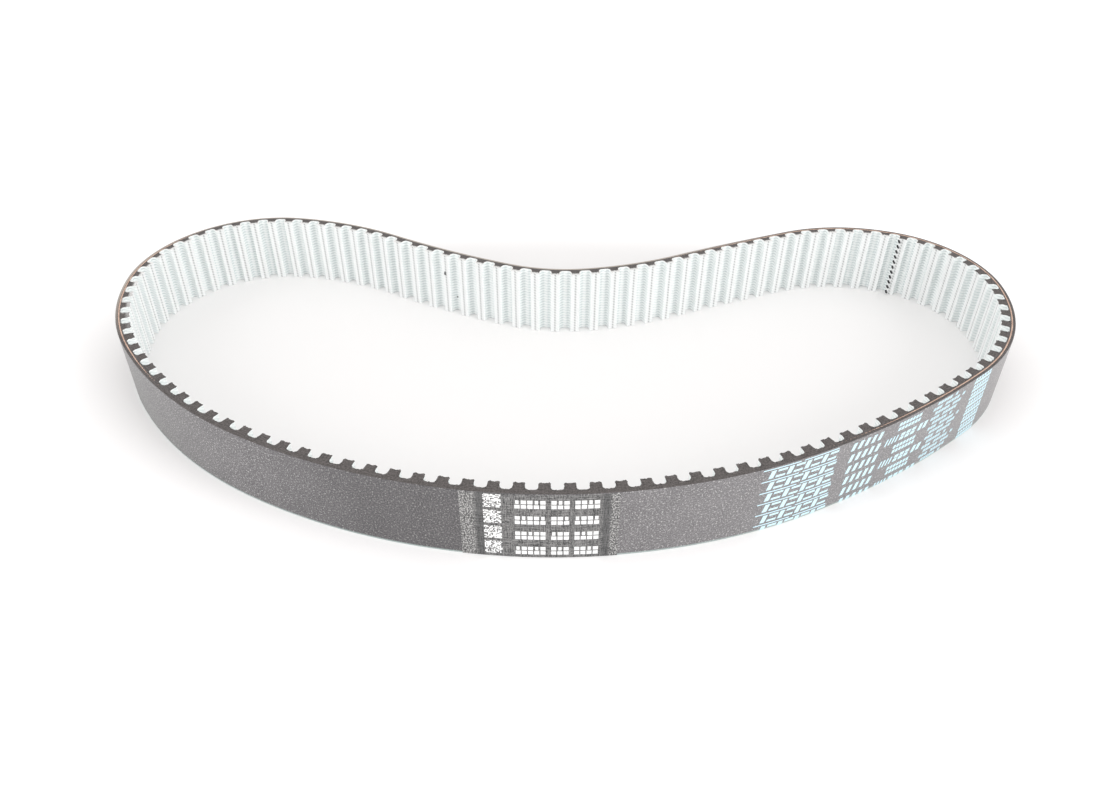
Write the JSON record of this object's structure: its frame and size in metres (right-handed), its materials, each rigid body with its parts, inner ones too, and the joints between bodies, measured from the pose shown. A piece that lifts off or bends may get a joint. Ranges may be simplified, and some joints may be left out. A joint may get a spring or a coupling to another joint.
{
  "type": "timing belt",
  "caption": "Endless toothed rubber belt with corded body and woven fabric facing, standing relaxed on its cut edge in a kidney-shaped loop that flexes.",
  "frame": {"origin": "middle of the loop's outline, at the height of its lower cut edge", "axes": "+Z across the belt's width, from the lower cut edge to the upper; +X along the loop's long side, towards the sewn seam's end; +Y towards the dented side"},
  "size_m": [0.3542, 0.1773, 0.028],
  "materials": {
    "backing_rubber": "smooth ground back, dusty dark grey",
    "cord_rubber": "cut rubber, matte",
    "glass_cord": "twisted glass fibre treated with copper-brown resin",
    "tooth_rubber": "cut rubber, matte",
    "facing_fabric": "white stretch-woven nylon with a mint tint",
    "transfer_label": "printed transfer film with a linen grain",
    "seam_thread": "black sewing thread"
  },
  "bodies": {
    "length_08": {"backing_08": "backing_rubber", "cord_bed_08": "cord_rubber", "tension_cords_08": "glass_cord", "tooth_cores_08": "tooth_rubber", "facing_fabric_08": "facing_fabric", "transfer_label": "transfer_label"},
    "length_01": {"backing_01": "backing_rubber", "cord_bed_01": "cord_rubber", "tension_cords_01": "glass_cord", "tooth_cores_01": "tooth_rubber", "facing_fabric_01": "facing_fabric"},
    "length_02": {"backing_02": "backing_rubber", "cord_bed_02": "cord_rubber", "tension_cords_02": "glass_cord", "tooth_cores_02": "tooth_rubber", "facing_fabric_02": "facing_fabric"},
    "length_03": {"backing_03": "backing_rubber", "cord_bed_03": "cord_rubber", "tension_cords_03": "glass_cord", "tooth_cores_03": "tooth_rubber", "facing_fabric_03": "facing_fabric"},
    "length_04": {"backing_04": "backing_rubber", "cord_bed_04": "cord_rubber", "tension_cords_04": "glass_cord", "tooth_cores_04": "tooth_rubber", "facing_fabric_04": "facing_fabric"},
    "length_05": {"backing_05": "backing_rubber", "cord_bed_05": "cord_rubber", "tension_cords_05": "glass_cord", "tooth_cores_05": "tooth_rubber", "facing_fabric_05": "facing_fabric"},
    "length_06": {"backing_06": "backing_rubber", "cord_bed_06": "cord_rubber", "tension_cords_06": "glass_cord", "tooth_cores_06": "tooth_rubber", "facing_fabric_06": "facing_fabric"},
    "length_07": {"backing_07": "backing_rubber", "cord_bed_07": "cord_rubber", "tension_cords_07": "glass_cord", "tooth_cores_07": "tooth_rubber", "facing_fabric_07": "facing_fabric"},
    "length_09": {"backing_09": "backing_rubber", "cord_bed_09": "cord_rubber", "tension_cords_09": "glass_cord", "tooth_cores_09": "tooth_rubber", "facing_fabric_09": "facing_fabric"},
    "length_10": {"backing_10": "backing_rubber", "cord_bed_10": "cord_rubber", "tension_cords_10": "glass_cord", "tooth_cores_10": "tooth_rubber", "facing_fabric_10": "facing_fabric"},
    "length_11": {"backing_11": "backing_rubber", "cord_bed_11": "cord_rubber", "tension_cords_11": "glass_cord", "tooth_cores_11": "tooth_rubber", "facing_fabric_11": "facing_fabric", "seam_thread": "seam_thread"}
  },
  "joints": [
    {"name": "bend_01_02", "type": "hinge", "parent": "length_02", "child": "length_01", "pos_m": [0.07678, 0.06704, 0.014], "axis": [0, 0, 1], "range_deg": [-3.36, 3.36]},
    {"name": "bend_02_03", "type": "hinge", "parent": "length_03", "child": "length_02", "pos_m": [0.01691, 0.04487, 0.014], "axis": [0, 0, 1], "range_deg": [-4.06, 4.06]},
    {"name": "bend_03_04", "type": "hinge", "parent": "length_04", "child": "length_03", "pos_m": [-0.04463, 0.05646, 0.014], "axis": [0, 0, 1], "range_deg": [-4.74, 4.74]},
    {"name": "bend_04_05", "type": "hinge", "parent": "length_05", "child": "length_04", "pos_m": [-0.11808, 0.08682, 0.014], "axis": [0, 0, 1], "range_deg": [-2.15, 2.15]},
    {"name": "bend_05_06", "type": "hinge", "parent": "length_06", "child": "length_05", "pos_m": [-0.17535, 0.04325, 0.014], "axis": [0, 0, 1], "range_deg": [-5.06, 5.06]},
    {"name": "bend_06_07", "type": "hinge", "parent": "length_07", "child": "length_06", "pos_m": [-0.14137, -0.03468, 0.014], "axis": [0, 0, 1], "range_deg": [-10, 10], "stiffness_Nm_per_rad": 0.1},
    {"name": "bend_07_08", "type": "hinge", "parent": "length_08", "child": "length_07", "pos_m": [-0.05811, -0.08028, 0.014], "axis": [0, 0, 1], "range_deg": [-6.5, 6.5]},
    {"name": "bend_08_09", "type": "hinge", "parent": "length_08", "child": "length_09", "pos_m": [0.03697, -0.08294, 0.014], "axis": [0, 0, 1], "range_deg": [-9.14, 9.14]},
    {"name": "bend_09_10", "type": "hinge", "parent": "length_09", "child": "length_10", "pos_m": [0.11722, -0.04805, 0.014], "axis": [0, 0, 1], "range_deg": [-7.34, 7.34]},
    {"name": "bend_10_11", "type": "hinge", "parent": "length_10", "child": "length_11", "pos_m": [0.17194, 0.00802, 0.014], "axis": [0, 0, 1], "range_deg": [-7.4, 7.4]}
  ],
  "couplings": [
    {"joint": "bend_01_02", "follows": "bend_06_07", "ratio": -0.331},
    {"joint": "bend_02_03", "follows": "bend_06_07", "ratio": -0.4012},
    {"joint": "bend_03_04", "follows": "bend_06_07", "ratio": -0.4693},
    {"joint": "bend_04_05", "follows": "bend_06_07", "ratio": -0.2103},
    {"joint": "bend_05_06", "follows": "bend_06_07", "ratio": 0.5013},
    {"joint": "bend_07_08", "follows": "bend_06_07", "ratio": -0.6449},
    {"joint": "bend_08_09", "follows": "bend_06_07", "ratio": 0.9086},
    {"joint": "bend_09_10", "follows": "bend_06_07", "ratio": -0.7295},
    {"joint": "bend_10_11", "follows": "bend_06_07", "ratio": -0.7347}
  ]
}
